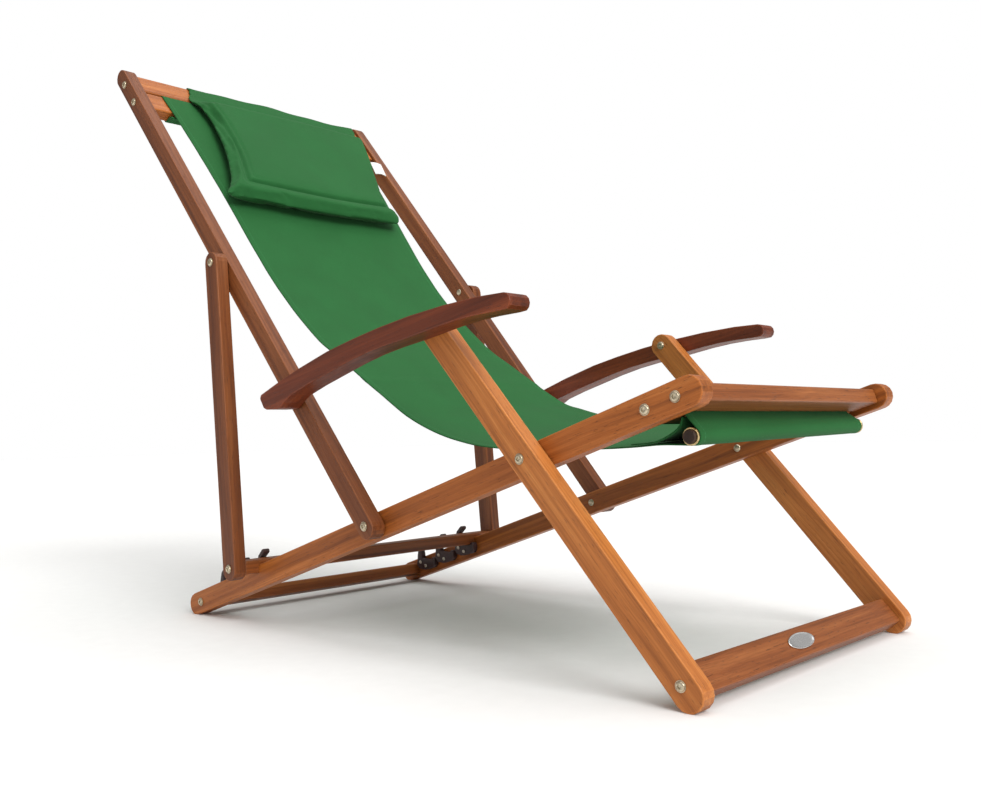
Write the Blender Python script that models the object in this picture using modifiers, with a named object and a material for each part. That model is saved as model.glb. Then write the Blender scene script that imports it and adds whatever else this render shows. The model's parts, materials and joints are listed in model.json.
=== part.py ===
"""Folding wooden deck chair with a fabric sling, armrests and a three-position back prop.

Metres. +X is forward (the way the sitter faces), +Y is the sitter's left, +Z is up, and the
origin is on the floor under the middle of the chair. The side frames are flat boards in layers
along Y: rails inside, then uprights and legs, then props and armrests outside.
"""
import math

import bmesh
import bpy
from mathutils import Matrix, Vector

# ---------------------------------------------------------------- driving dimensions
RAIL_ANGLE = math.radians(18.24)      # slope of the seat rails
BACK_ANGLE = math.radians(129.87)     # slope of the back uprights, from +X
REAR_FOOT = (-0.3638, 0.0212)         # bolt at the rear end of a rail (x, z)
BACK_PIVOT = (0.0652, 0.1630)         # rail and upright
LEG_PIVOT = (0.3372, 0.2520)          # rail and leg
ARM_FRONT_PIVOT = (0.1927, 0.4155)    # leg and armrest
PROP_PIVOT = (-0.2528, 0.5475)        # upright and prop
PROP_BOLT = (-0.2158, 0.0890)         # prop and its crossbar
LEG_BOLT = (0.5440, 0.0261)           # leg and its crossbar
# The rails, uprights, armrests and legs make a parallelogram, so its fourth pivot follows.
ARM_REAR_PIVOT = (BACK_PIVOT[0] + ARM_FRONT_PIVOT[0] - LEG_PIVOT[0],
                  BACK_PIVOT[1] + ARM_FRONT_PIVOT[1] - LEG_PIVOT[1])

FRONT_BAR_AT = 0.9419                 # distances along the rail from its rear bolt
SECOND_BAR_AT = 0.9019
RAIL_FRONT_AT = 0.9580
RAIL_REAR_AT = -0.0160
UPPER_BAR_AT = 0.9494                 # distances along the upright from the back pivot
LOWER_BAR_AT = 0.9017
UPRIGHT_TOP_AT = 0.9684
UPRIGHT_FOOT_AT = -0.0040
LEG_FOOT_PAST_BOLT = 0.0120
PROP_END_PAST_BOLT = 0.0020

RAIL_WIDTH = 0.0340
UPRIGHT_WIDTH = 0.0290
LEG_WIDTH = 0.0360
PROP_WIDTH = 0.0310
BOARD = 0.0220                        # thickness of rails, uprights and legs
PROP_THICK = 0.0200
ARM_THICK = 0.0350
BAR_THICK = 0.0200                    # thickness of every crossbar
BAR_WIDTH = 0.0370
TOP_BAR_WIDTH = 0.0440
PROP_BAR_WIDTH = 0.0240

RAIL_INNER = 0.2230                   # |y| of the inner face of each layer
UPRIGHT_INNER = 0.2465
OUTER_INNER = 0.2700                  # props and armrests
EDGE_ROUND = 0.0025
ARM_ROUND = 0.0045
TOUCH = 0.0003                        # gap between pieces that touch

BOLT_R = 0.0025
HOLE_R = 0.0028
HEAD_R = 0.0055
HEAD_FLAT_R = 0.0034
HEAD_H = 0.0030
WASHER_R = 0.0064
WASHER_T = 0.0008
NUT_R = 0.0055
NUT_H = 0.0026
BAR_SCREW_DEPTH = 0.0180              # thread length inside a crossbar's end
ARM_BOLT_DEPTH = 0.0200               # thread length inside an armrest

DOWEL = (0.5252, 0.2780)
DOWEL_R = 0.0080
DOWEL_HALF = 0.2120
DOWEL_RISE = 0.0038                   # its left end hangs this much above its middle
RING_Y = 0.2072
RING_HALF = 0.0014

HOOK_AT = (0.0480, 0.1000, 0.1545)    # along the rail: reclined, middle and upright seats
HOOK_THICK = 0.0110
HOOK_TIP_R = 0.0034

CLOTH = 0.0020
SLING_TOP_HALF = 0.2130
SLING_MID_HALF = 0.1890
SLING_FRONT_HALF = 0.2040
PILLOW_THICK = 0.0200
# Lower and upper corners, right one first: distance up the back, offset in front of it, and y.
PILLOW_CORNERS = (((0.6420, 0.0310, -0.2090), (0.6470, 0.0310, 0.1740)),
                  ((0.9600, 0.0262, -0.1480), (0.9600, 0.0262, 0.2380)))
FLAP_HALF = 0.1900
FLAP_SHIFT = 0.0450                   # the headrest hangs this much to the left of the middle
FLAP_CLEAR = 0.0018
FLAP_FOOT_AT = 0.8600

# Seat line from the back to the dowel: x, height, and how much lower the right edge hangs
# than the middle, because the cloth has more slack on that side.
SEAT_LINE = ((0.0272, 0.3320, 0.0020), (0.0772, 0.3090, 0.0080), (0.1372, 0.2910, 0.0125),
             (0.1972, 0.2825, 0.0165), (0.2572, 0.2785, 0.0170), (0.3372, 0.2755, 0.0145),
             (0.4172, 0.2735, 0.0115), (0.4772, 0.2742, 0.0088), (0.5080, 0.2702, 0.0045))
SEAT_SPLIT = 2                        # SEAT_LINE point where the seat panel starts
# Back line: distance along the upright from the back pivot, and offset in front of it.
BACK_LINE = ((0.9120, 0.0118), (0.8750, 0.0118), (0.8100, 0.0105), (0.7400, 0.0085),
             (0.6600, 0.0055), (0.5750, 0.0015), (0.5000, 0.0008))
MIDDLE_LINE = ((0.4500, 0.0035), (0.3900, 0.0105), (0.3250, 0.0225), (0.2750, 0.0390))
# Rear layer of the sleeve round the dowel, from under the slot to the seat: x, height, drop.
SLEEVE_LINE = ((0.5120, 0.2962, 0.0010), (0.5106, 0.2905, 0.0020), (0.5060, 0.2855, 0.0030),
               (0.4970, 0.2820, 0.0050), (0.4840, 0.2795, 0.0068), (0.4700, 0.2777, 0.0090),
               (0.4460, 0.2776, 0.0110))
SPLIT_GAP = 0.0010
CORNER = EDGE_ROUND + CLOTH / 2 + 0.0005   # radius of the sling's turns round a bar's corners


# ---------------------------------------------------------------- scene set-up
def clear_scene():
    for old in list(bpy.data.objects):
        bpy.data.objects.remove(old, do_unlink=True)


def collection(name):
    group = bpy.data.collections.get(name) or bpy.data.collections.new(name)
    if name not in bpy.context.scene.collection.children:
        bpy.context.scene.collection.children.link(group)
    return group


clear_scene()
CHAIR = collection("folding_deck_chair")
CUTTERS = collection("cutters")

WOOD = ((0.42, 0.17, 0.07), 0.45, 0.0)
ARM_WOOD = ((0.25, 0.09, 0.05), 0.40, 0.0)
STEEL = ((0.62, 0.60, 0.56), 0.30, 1.0)
BRASS = ((0.66, 0.52, 0.26), 0.30, 1.0)
IRON = ((0.045, 0.03, 0.03), 0.50, 0.6)
GREEN = ((0.03, 0.20, 0.05), 0.85, 0.0)
DOWEL_WOOD = ((0.08, 0.035, 0.02), 0.55, 0.0)


def finish(name, look):
    colour, roughness, metallic = look
    material = bpy.data.materials.new(name)
    material.use_nodes = True
    shader = material.node_tree.nodes["Principled BSDF"]
    shader.inputs["Base Color"].default_value = (*colour, 1.0)
    shader.inputs["Roughness"].default_value = roughness
    shader.inputs["Metallic"].default_value = metallic
    return material


def add_object(name, mesh, look, parent=None, smooth=True):
    part = bpy.data.objects.new(name, mesh)
    CHAIR.objects.link(part)
    mesh.materials.clear()
    mesh.materials.append(finish(name, look))
    if smooth:
        mesh.shade_smooth()
        mesh.set_sharp_from_angle(angle=math.radians(35.0))
    if parent:
        part.parent = parent
        part.matrix_parent_inverse = Matrix.Translation(parent.location).inverted()
    return part


def axis_empty(name, point):
    empty = bpy.data.objects.new(name, None)
    empty.empty_display_size = 0.05
    empty.location = (point[0], 0.0, point[1])
    CHAIR.objects.link(empty)
    return empty


# ---------------------------------------------------------------- geometry helpers
def along(origin, angle, distance, offset=0.0):
    """Point at a distance along a line in the XZ plane, offset to its front side."""
    return (origin[0] + distance * math.cos(angle) + offset * math.sin(angle),
            origin[1] + distance * math.sin(angle) - offset * math.cos(angle))


def rail_point(distance, offset=0.0):
    return along(REAR_FOOT, RAIL_ANGLE, distance, -offset)


def back_point(distance, offset=0.0):
    return along(BACK_PIVOT, BACK_ANGLE, distance, offset)


def direction(start, end):
    return math.atan2(end[1] - start[1], end[0] - start[0])


def arc(centre, radius, start, end, steps):
    """Points on an arc in the XZ plane, angles in radians, both ends included."""
    points = []
    for index in range(steps + 1):
        angle = start + (end - start) * index / steps
        points.append((centre[0] + radius * math.cos(angle), centre[1] + radius * math.sin(angle)))
    return points


def rounded_bar(start, end, width, steps=8):
    """Outline of a board whose ends are half circles centred on start and end."""
    angle = direction(start, end)
    quarter = math.pi / 2
    outline = arc(end, width / 2, angle - quarter, angle + quarter, steps)
    outline += arc(start, width / 2, angle + quarter, angle + 3 * quarter, steps)
    return outline


def smooth_line(points, per_span=3):
    """Catmull-Rom curve through tuples of any length."""
    ends = [points[0]] + list(points) + [points[-1]]
    line = []
    for index in range(len(points) - 1):
        a, b, c, d = (Vector(ends[index + step]) for step in range(4))
        for step in range(per_span):
            t = step / per_span
            line.append(0.5 * (2 * b + (c - a) * t + (2 * a - 5 * b + 4 * c - d) * t * t
                               + (3 * b - a - 3 * c + d) * t * t * t))
    line.append(Vector(points[-1]))
    return [tuple(point) for point in line]


def outline_mesh(name, outline, thickness, y_middle):
    """Mesh of a flat outline in the XZ plane, extruded to both sides of y_middle."""
    curve = bpy.data.curves.new(name, "CURVE")
    curve.dimensions = "2D"
    curve.fill_mode = "BOTH"
    curve.extrude = thickness / 2
    spline = curve.splines.new("POLY")
    spline.points.add(len(outline) - 1)
    for point, (x, z) in zip(spline.points, outline):
        point.co = (x, z, 0.0, 1.0)
    spline.use_cyclic_u = True
    flat = bpy.data.objects.new(name + "_outline", curve)
    CHAIR.objects.link(flat)
    flat.rotation_euler = (math.pi / 2, 0.0, 0.0)
    flat.location = (0.0, y_middle, 0.0)
    bpy.context.view_layer.update()
    graph = bpy.context.evaluated_depsgraph_get()
    mesh = bpy.data.meshes.new_from_object(flat.evaluated_get(graph))
    mesh.transform(flat.matrix_world)
    work = bmesh.new()
    work.from_mesh(mesh)
    bmesh.ops.remove_doubles(work, verts=work.verts, dist=0.00001)
    bmesh.ops.recalc_face_normals(work, faces=work.faces)
    work.to_mesh(mesh)
    work.free()
    bpy.data.objects.remove(flat, do_unlink=True)
    return mesh


def box_mesh(name, size, matrix):
    mesh = bpy.data.meshes.new(name)
    work = bmesh.new()
    bmesh.ops.create_cube(work, size=1.0)
    bmesh.ops.scale(work, verts=work.verts, vec=size)
    bmesh.ops.transform(work, verts=work.verts, matrix=matrix)
    work.to_mesh(mesh)
    work.free()
    return mesh


def add_bevel(part, width, segments=2):
    modifier = part.modifiers.new("edges", "BEVEL")
    modifier.width = width
    modifier.segments = segments
    modifier.limit_method = "ANGLE"
    modifier.angle_limit = math.radians(40.0)


def cut(part, cutter):
    modifier = part.modifiers.new(cutter.name, "BOOLEAN")
    modifier.operation = "DIFFERENCE"
    modifier.solver = "EXACT"
    modifier.object = cutter


def cutter_object(name, mesh):
    cutter = bpy.data.objects.new(name, mesh)
    cutter.display_type = "WIRE"
    cutter.hide_render = True
    CUTTERS.objects.link(cutter)
    return cutter


def drill(part, holes):
    """Cut round holes along Y. Each hole is a point, and its lowest and highest y."""
    mesh = bpy.data.meshes.new(part.name + "_holes")
    work = bmesh.new()
    for (x, z), low, high in holes:
        place = Matrix.Translation((x, (low + high) / 2, z)) @ Matrix.Rotation(math.pi / 2, 4, "X")
        bmesh.ops.create_cone(work, cap_ends=True, segments=12, radius1=HOLE_R, radius2=HOLE_R,
                              depth=high - low, matrix=place)
    bmesh.ops.recalc_face_normals(work, faces=work.faces)
    work.to_mesh(mesh)
    work.free()
    cut(part, cutter_object(part.name + "_holes", mesh))


def side_name(name, side):
    return name + ("_left" if side > 0 else "_right")


def span(side, inner, outer):
    """Lowest and highest y of a range of |y| on one side."""
    return (inner, outer) if side > 0 else (-outer, -inner)


# ---------------------------------------------------------------- wooden side members
def side_board(name, side, outline, inner, thickness, through, parent, look=WOOD, edge=EDGE_ROUND):
    mesh = outline_mesh(side_name(name, side), outline, thickness, side * (inner + thickness / 2))
    part = add_object(side_name(name, side), mesh, look, parent)
    add_bevel(part, edge)
    low, high = span(side, inner - 0.002, inner + thickness + 0.002)
    drill(part, [(point, low, high) for point in through])
    return part


def arm_outline():
    """Arched armrest: crowned top, flat pad under its rear pivot, slim rounded front."""
    top = [(-0.1085, 0.3415), (-0.0700, 0.3565), (-0.0225, 0.3735), (0.0400, 0.3930),
           (0.0900, 0.4050), (0.1400, 0.4155), (0.1950, 0.4250), (0.2550, 0.4325),
           (0.3100, 0.4370), (0.3500, 0.4378)]
    nose = arc((0.3500, 0.4278), 0.0100, math.radians(60), math.radians(-60), 4)
    under = [(0.3450, 0.4180), (0.3157, 0.4166), (0.2852, 0.4140), (0.2536, 0.4095),
             (0.2207, 0.4035), (0.1867, 0.3975), (0.1515, 0.3920), (0.1150, 0.3850),
             (0.0770, 0.3752), (0.0415, 0.3645), (-0.0036, 0.3510), (-0.0400, 0.3385),
             (-0.0560, 0.3290), (-0.0640, 0.3222)]
    heel = [(-0.0720, 0.3205), (-0.0960, 0.3205), (-0.1020, 0.3228), (-0.1105, 0.3360)]
    return top + nose + under + heel


def side_frame(side, pivots):
    floor_cut = cutter_object(side_name("floor", side), box_mesh(
        "floor", (1.4, 0.2, 0.04), Matrix.Translation((0.0, side * 0.25, -0.02))))
    rail = side_board("seat_rail", side,
                      rounded_bar(rail_point(RAIL_REAR_AT), rail_point(RAIL_FRONT_AT), RAIL_WIDTH),
                      RAIL_INNER, BOARD,
                      (REAR_FOOT, BACK_PIVOT, LEG_PIVOT, rail_point(SECOND_BAR_AT),
                       rail_point(FRONT_BAR_AT)), None)
    cut(rail, floor_cut)
    side_board("back_upright", side,
               rounded_bar(back_point(UPRIGHT_FOOT_AT), back_point(UPRIGHT_TOP_AT), UPRIGHT_WIDTH),
               UPRIGHT_INNER, BOARD,
               (BACK_PIVOT, ARM_REAR_PIVOT, PROP_PIVOT, back_point(LOWER_BAR_AT),
                back_point(UPPER_BAR_AT)), pivots["back"])
    leg_angle = direction(LEG_BOLT, ARM_FRONT_PIVOT)
    leg = side_board("leg", side,
                     rounded_bar(along(LEG_BOLT, leg_angle, -LEG_FOOT_PAST_BOLT),
                                 ARM_FRONT_PIVOT, LEG_WIDTH),
                     UPRIGHT_INNER, BOARD, (LEG_BOLT, LEG_PIVOT, ARM_FRONT_PIVOT), pivots["leg"])
    cut(leg, floor_cut)
    prop_angle = direction(PROP_PIVOT, PROP_BOLT)
    side_board("prop", side,
               rounded_bar(PROP_PIVOT, along(PROP_BOLT, prop_angle, PROP_END_PAST_BOLT),
                           PROP_WIDTH),
               OUTER_INNER, PROP_THICK, (PROP_PIVOT, PROP_BOLT), pivots["prop"])
    name = side_name("armrest", side)
    mesh = outline_mesh(name, arm_outline(), ARM_THICK, side * (OUTER_INNER + ARM_THICK / 2))
    arm = add_object(name, mesh, ARM_WOOD, pivots[name])
    add_bevel(arm, ARM_ROUND)
    low, high = span(side, OUTER_INNER - 0.002, OUTER_INNER + ARM_BOLT_DEPTH + 0.003)
    drill(arm, [(ARM_REAR_PIVOT, low, high), (ARM_FRONT_PIVOT, low, high)])


# ---------------------------------------------------------------- crossbars
def crossbar(name, centre, angle, width, reach, parent, screw_depth):
    """Flat bar across the chair, its width along angle, drilled at both ends for screws."""
    place = Matrix.Translation((centre[0], 0.0, centre[1])) @ Matrix.Rotation(-angle, 4, "Y")
    mesh = box_mesh(name, (width, 2 * (reach - TOUCH), BAR_THICK), place)
    part = add_object(name, mesh, WOOD, parent)
    add_bevel(part, EDGE_ROUND)
    holes = []
    for side in (1, -1):
        low, high = span(side, reach - screw_depth - 0.002, reach + 0.002)
        holes.append((centre, low, high))
    drill(part, holes)
    return part


def crossbars(pivots):
    rail_bars = (("front_crossbar", FRONT_BAR_AT), ("second_crossbar", SECOND_BAR_AT),
                 ("rear_foot_crossbar", 0.0))
    for name, distance in rail_bars:
        width = BAR_WIDTH if distance else BAR_WIDTH - 0.007
        crossbar(name, rail_point(distance), RAIL_ANGLE, width, RAIL_INNER, None, BAR_SCREW_DEPTH)
    for name, distance in (("upper_top_crossbar", UPPER_BAR_AT),
                           ("lower_top_crossbar", LOWER_BAR_AT)):
        crossbar(name, back_point(distance), BACK_ANGLE, TOP_BAR_WIDTH, UPRIGHT_INNER,
                 pivots["back"], BAR_SCREW_DEPTH)
    crossbar("leg_crossbar", LEG_BOLT, direction(LEG_BOLT, ARM_FRONT_PIVOT), BAR_WIDTH,
             UPRIGHT_INNER, pivots["leg"], BAR_SCREW_DEPTH)
    bar = crossbar("prop_crossbar", PROP_BOLT, 0.0, PROP_BAR_WIDTH, OUTER_INNER,
                   pivots["prop"], BAR_SCREW_DEPTH)
    for side in (1, -1):
        cut(bar, saddle_cutter(side))


def saddle_cutter(side):
    """Housing under the prop's crossbar that straddles a rail."""
    clearance = 0.0008
    top = RAIL_WIDTH / 2 + clearance / 2
    depth = 0.06
    centre = rail_point(HOOK_AT[2], top - depth / 2)
    place = Matrix.Translation((centre[0], side * (RAIL_INNER + BOARD / 2), centre[1]))
    place = place @ Matrix.Rotation(-RAIL_ANGLE, 4, "Y")
    mesh = box_mesh("saddle", (0.09, BOARD + 2 * clearance, depth), place)
    return cutter_object(side_name("saddle", side), mesh)


# ---------------------------------------------------------------- bolts and screws
def turned(name, profile, point, y, outward, look, parent, steps=12):
    """Solid of revolution about a Y axis. Profile: radius, and height outward from y."""
    mesh = bpy.data.meshes.new(name)
    work = bmesh.new()
    ring = [work.verts.new((radius, 0.0, height)) for radius, height in profile]
    for first, second in zip(ring, ring[1:]):
        work.edges.new((first, second))
    work.to_mesh(mesh)
    work.free()
    part = add_object(name, mesh, look, smooth=False)
    screw = part.modifiers.new("turn", "SCREW")
    screw.steps = steps
    screw.render_steps = steps
    screw.use_merge_vertices = True
    screw.merge_threshold = 0.00001
    screw.use_smooth_shade = False
    part.rotation_euler = (-outward * math.pi / 2, 0.0, 0.0)
    part.location = (point[0], y, point[1])
    if parent:
        part.parent = parent
        part.matrix_parent_inverse = Matrix.Translation(parent.location).inverted()
    return part


def head_profile(length):
    return [(0.0, HEAD_H), (HEAD_FLAT_R, HEAD_H), (HEAD_R, WASHER_T + 0.0008), (HEAD_R, WASHER_T),
            (WASHER_R, WASHER_T), (WASHER_R, TOUCH), (BOLT_R, TOUCH), (BOLT_R, -length),
            (0.0, -length)]


def pivot_profile(length):
    """Headed bolt with a round cap nut at its far end."""
    shank = head_profile(length)[:7]
    return shank + [(BOLT_R, -length), (NUT_R, -length), (NUT_R, -length - NUT_H * 0.6),
                    (NUT_R * 0.6, -length - NUT_H), (0.0, -length - NUT_H)]


def bar_screws(pivots):
    outer_rail = RAIL_INNER + BOARD
    outer_upright = UPRIGHT_INNER + BOARD
    outer_prop = OUTER_INNER + PROP_THICK
    rows = (("rear_foot_screw", REAR_FOOT, outer_rail, BOARD, None),
            ("front_bar_screw", rail_point(FRONT_BAR_AT), outer_rail, BOARD, None),
            ("second_bar_screw", rail_point(SECOND_BAR_AT), outer_rail, BOARD, None),
            ("upper_top_screw", back_point(UPPER_BAR_AT), outer_upright, BOARD, pivots["back"]),
            ("lower_top_screw", back_point(LOWER_BAR_AT), outer_upright, BOARD, pivots["back"]),
            ("leg_bar_screw", LEG_BOLT, outer_upright, BOARD, pivots["leg"]),
            ("prop_bar_screw", PROP_BOLT, outer_prop, PROP_THICK, pivots["prop"]))
    for name, point, outer, thickness, parent in rows:
        for side in (1, -1):
            turned(side_name(name, side), head_profile(thickness + BAR_SCREW_DEPTH - 0.001),
                   point, side * outer, side, STEEL, parent)


def pivot_bolts(pivots):
    outer_upright = UPRIGHT_INNER + BOARD
    outer_prop = OUTER_INNER + PROP_THICK
    through = (("back_pivot_bolt", BACK_PIVOT, outer_upright, RAIL_INNER, None),
               ("leg_pivot_bolt", LEG_PIVOT, outer_upright, RAIL_INNER, None),
               ("prop_pivot_bolt", PROP_PIVOT, outer_prop, UPRIGHT_INNER, pivots["back"]))
    for name, point, outer, inner, parent in through:
        for side in (1, -1):
            turned(side_name(name, side), pivot_profile(outer - inner + TOUCH), point,
                   side * outer, side, STEEL, parent)
    blind = (("arm_rear_bolt", ARM_REAR_PIVOT, pivots["back"]),
             ("arm_front_bolt", ARM_FRONT_PIVOT, pivots["leg"]))
    reach = OUTER_INNER - UPRIGHT_INNER + ARM_BOLT_DEPTH
    for name, point, parent in blind:
        for side in (1, -1):
            turned(side_name(name, side), head_profile(reach), point, side * UPRIGHT_INNER,
                   -side, STEEL, parent)


# ---------------------------------------------------------------- hooks, dowel and badge
def hook_outline(distance):
    """Hook on a rail's inner face: seat with a front lobe, and a finger that leans over it."""
    x = rail_point(distance)[0]
    seat = PROP_BOLT[1] - BAR_THICK / 2 - 0.0006
    seat += rail_point(distance)[1] - rail_point(HOOK_AT[2])[1]
    lobe = [(x + 0.0128, seat), (x + 0.0140, seat + 0.0045), (x + 0.0200, seat + 0.0040),
            (x + 0.0215, seat)]
    block = [(x + 0.0215, seat - 0.0090), (x + 0.0165, seat - 0.0145), (x - 0.0060, seat - 0.0205),
             (x - 0.0210, seat - 0.0190), (x - 0.0270, seat - 0.0120)]
    finger = [(x - 0.0250, seat + 0.0080), (x - 0.0215, seat + 0.0225), (x - 0.0120, seat + 0.0322)]
    tip = arc((x - 0.0085, seat + 0.0300), HOOK_TIP_R, math.radians(90), math.radians(-60), 3)
    throat = [(x - 0.0158, seat + 0.0190), (x - 0.0132, seat + 0.0060), (x - 0.0128, seat)]
    return lobe + block + finger + tip + throat


def hooks():
    for number, distance in enumerate(HOOK_AT, start=1):
        for side in (1, -1):
            name = side_name("prop_hook_%d" % number, side)
            middle = side * (RAIL_INNER - TOUCH - HOOK_THICK / 2)
            mesh = outline_mesh(name, hook_outline(distance), HOOK_THICK, middle)
            part = add_object(name, mesh, IRON)
            add_bevel(part, 0.0010, 1)


def rod(name, point, radius, half, look, inner=0.0):
    """Round bar across the chair, or a ring when an inner radius is given."""
    edge = min(0.001, half / 3)
    profile = [(inner, half), (radius - edge, half), (radius, half - edge),
               (radius, edge - half), (radius - edge, -half), (inner, -half)]
    if inner:
        profile.append(profile[0])
    return turned(name, profile, point, 0.0, 1, look, None, steps=16)


def dowel_and_rings():
    tilt = math.asin(DOWEL_RISE / DOWEL_HALF)
    dowel = rod("front_dowel", DOWEL, DOWEL_R, DOWEL_HALF, DOWEL_WOOD)
    dowel.rotation_euler.x += tilt
    for side in (1, -1):
        ring = rod(side_name("dowel_ring", side), DOWEL, DOWEL_R + 0.0020, RING_HALF, BRASS,
                   DOWEL_R + TOUCH)
        ring.rotation_euler.x += tilt
        ring.location.y = side * RING_Y
        ring.location.z += side * RING_Y * math.tan(tilt)


def badge(parent):
    """Blank oval plate on the front face of the leg crossbar."""
    angle = direction(LEG_BOLT, ARM_FRONT_PIVOT)
    thickness = 0.0016
    lift = BAR_THICK / 2 + TOUCH + thickness / 2
    centre = along(LEG_BOLT, angle, 0.0, lift)
    place = Matrix.Translation((centre[0], -0.022, centre[1])) @ Matrix.Rotation(-angle, 4, "Y")
    mesh = bpy.data.meshes.new("badge_plate")
    work = bmesh.new()
    bmesh.ops.create_cone(work, cap_ends=True, segments=24, radius1=1.0, radius2=1.0, depth=1.0)
    bmesh.ops.scale(work, verts=work.verts, vec=(0.0100, 0.0300, thickness))
    bmesh.ops.transform(work, verts=work.verts, matrix=place)
    work.to_mesh(mesh)
    work.free()
    add_object("badge_plate", mesh, STEEL, parent)


# ---------------------------------------------------------------- sling and headrest
def cloth_solid(name, rows, parent, thickness=CLOTH, columns=6):
    """Sheet across the chair. Each row: x, z, half width, and drop of its right edge."""
    mesh = bpy.data.meshes.new(name)
    work = bmesh.new()
    bmesh.ops.create_grid(work, x_segments=len(rows) - 1, y_segments=columns, size=1.0)
    last = len(rows) - 1
    for vert in work.verts:
        x, z, half, drop = rows[round((vert.co.x + 1) / 2 * last)]
        across = vert.co.y
        vert.co = (x, across * half, z + across * drop)
    work.to_mesh(mesh)
    work.free()
    part = add_object(name, mesh, GREEN, parent)
    shell = part.modifiers.new("cloth", "SOLIDIFY")
    shell.thickness = thickness
    shell.offset = 0.0
    shell.use_even_offset = True
    return part


def half_width(part_of_length):
    """Sling half width from its top (0) to its front (1): waisted in the middle."""
    if part_of_length < 0.35:
        blend = part_of_length / 0.35
        return SLING_TOP_HALF + (SLING_MID_HALF - SLING_TOP_HALF) * math.sin(blend * math.pi / 2)
    blend = max(0.0, (part_of_length - 0.80) / 0.20)
    return SLING_MID_HALF + (SLING_FRONT_HALF - SLING_MID_HALF) * blend * blend


def sling_rows():
    """Rows of the sling between the top bars and the dowel, and the two split places."""
    back = [(*back_point(distance, offset), 0.0) for distance, offset in BACK_LINE + MIDDLE_LINE]
    line = smooth_line(back + list(SEAT_LINE))
    lengths = [0.0]
    for first, second in zip(line, line[1:]):
        lengths.append(lengths[-1] + math.dist(first[:2], second[:2]))
    rows = [(x, z, half_width(length / lengths[-1]), drop)
            for (x, z, drop), length in zip(line, lengths)]
    first_split = 3 * (len(BACK_LINE) - 1)
    second_split = 3 * (len(BACK_LINE) + len(MIDDLE_LINE) + SEAT_SPLIT)
    return rows, first_split, second_split


def corner(centre, start, end):
    """Sling line round a rounded bar corner: distances and offsets, angles in radians."""
    return arc(centre, CORNER, start, end, 3)


def top_loop():
    """Sling round the lower top crossbar: up its back, through the slot, and to its front."""
    low = LOWER_BAR_AT - TOP_BAR_WIDTH / 2
    slot = (LOWER_BAR_AT + UPPER_BAR_AT) / 2
    turn = BAR_THICK / 2 - EDGE_ROUND
    under = corner((low + EDGE_ROUND, -turn), math.pi, 3 * math.pi / 2)
    rear = corner((slot - CORNER, -turn), -math.pi / 2, 0.0)
    front = corner((slot - CORNER, turn), 0.0, math.pi / 2)
    path = [(low - 0.0130, turn - 0.0005), (low - 0.0045, 0.0040), (low - 0.0022, -0.0040)]
    path += under + rear + front
    return [(*back_point(distance, offset), SLING_TOP_HALF, 0.0) for distance, offset in path]


def front_loop():
    """Sling round the dowel, up through the slot, and over the second crossbar."""
    wrap = DOWEL_R + CLOTH / 2 + 0.0004
    rise = SLING_FRONT_HALF * DOWEL_RISE / DOWEL_HALF
    path = [(*point, SLING_FRONT_HALF, rise)
            for point in arc(DOWEL, wrap, math.radians(-100), math.radians(50), 8)]
    slot = (FRONT_BAR_AT + SECOND_BAR_AT) / 2
    rear = SECOND_BAR_AT - BAR_WIDTH / 2
    turn = BAR_THICK / 2 - EDGE_ROUND
    over = [(slot, -turn - 0.0030)] + corner((slot - CORNER, turn), 0.0, math.pi / 2)
    over += corner((rear + EDGE_ROUND, turn), math.pi / 2, math.pi)
    over.append((rear - 0.0015, -turn - 0.0020))
    return path + [(*rail_point(distance, offset), SLING_FRONT_HALF, 0.0)
                   for distance, offset in over]


def pull_back(rows, end, gap):
    """Move one end row towards its neighbour, to leave a gap before the next panel."""
    other = end + 1 if end == 0 else end - 1
    here, inside = Vector(rows[end]), Vector(rows[other])
    rows[end] = tuple(here + (inside - here).normalized() * gap)
    return rows


def sling(pivots):
    rows, first, second = sling_rows()
    cloth_solid("sling_back", top_loop() + pull_back(rows[:first + 1], -1, SPLIT_GAP),
                pivots["back"])
    cloth_solid("sling_middle", rows[first:second + 1], None)
    cloth_solid("sling_seat", pull_back(rows[second:], 0, SPLIT_GAP) + front_loop(), None)
    sleeve = [(x, z, SLING_FRONT_HALF, drop) for x, z, drop in smooth_line(SLEEVE_LINE, 2)]
    cloth_solid("sling_sleeve", sleeve, None)


def headrest(parent):
    """Pad hung askew in front of the top bars."""
    lower, upper = PILLOW_CORNERS
    steps = 6
    mesh = bpy.data.meshes.new("headrest_pillow")
    work = bmesh.new()
    bmesh.ops.create_grid(work, x_segments=steps, y_segments=steps, size=1.0)
    for vert in work.verts:
        up, across = (vert.co.x + 1) / 2, (vert.co.y + 1) / 2
        edge_low = Vector(lower[0]).lerp(Vector(lower[1]), across)
        edge_high = Vector(upper[0]).lerp(Vector(upper[1]), across)
        distance, offset, y = edge_low.lerp(edge_high, up)
        x, z = back_point(distance, offset)
        vert.co = (x, y, z)
    work.to_mesh(mesh)
    work.free()
    pillow = add_object("headrest_pillow", mesh, GREEN, parent)
    shell = pillow.modifiers.new("pad", "SOLIDIFY")
    shell.thickness = PILLOW_THICK
    shell.offset = 0.0
    shell.use_even_offset = True
    add_bevel(pillow, 0.0060, 2)
    flap(parent)


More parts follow.
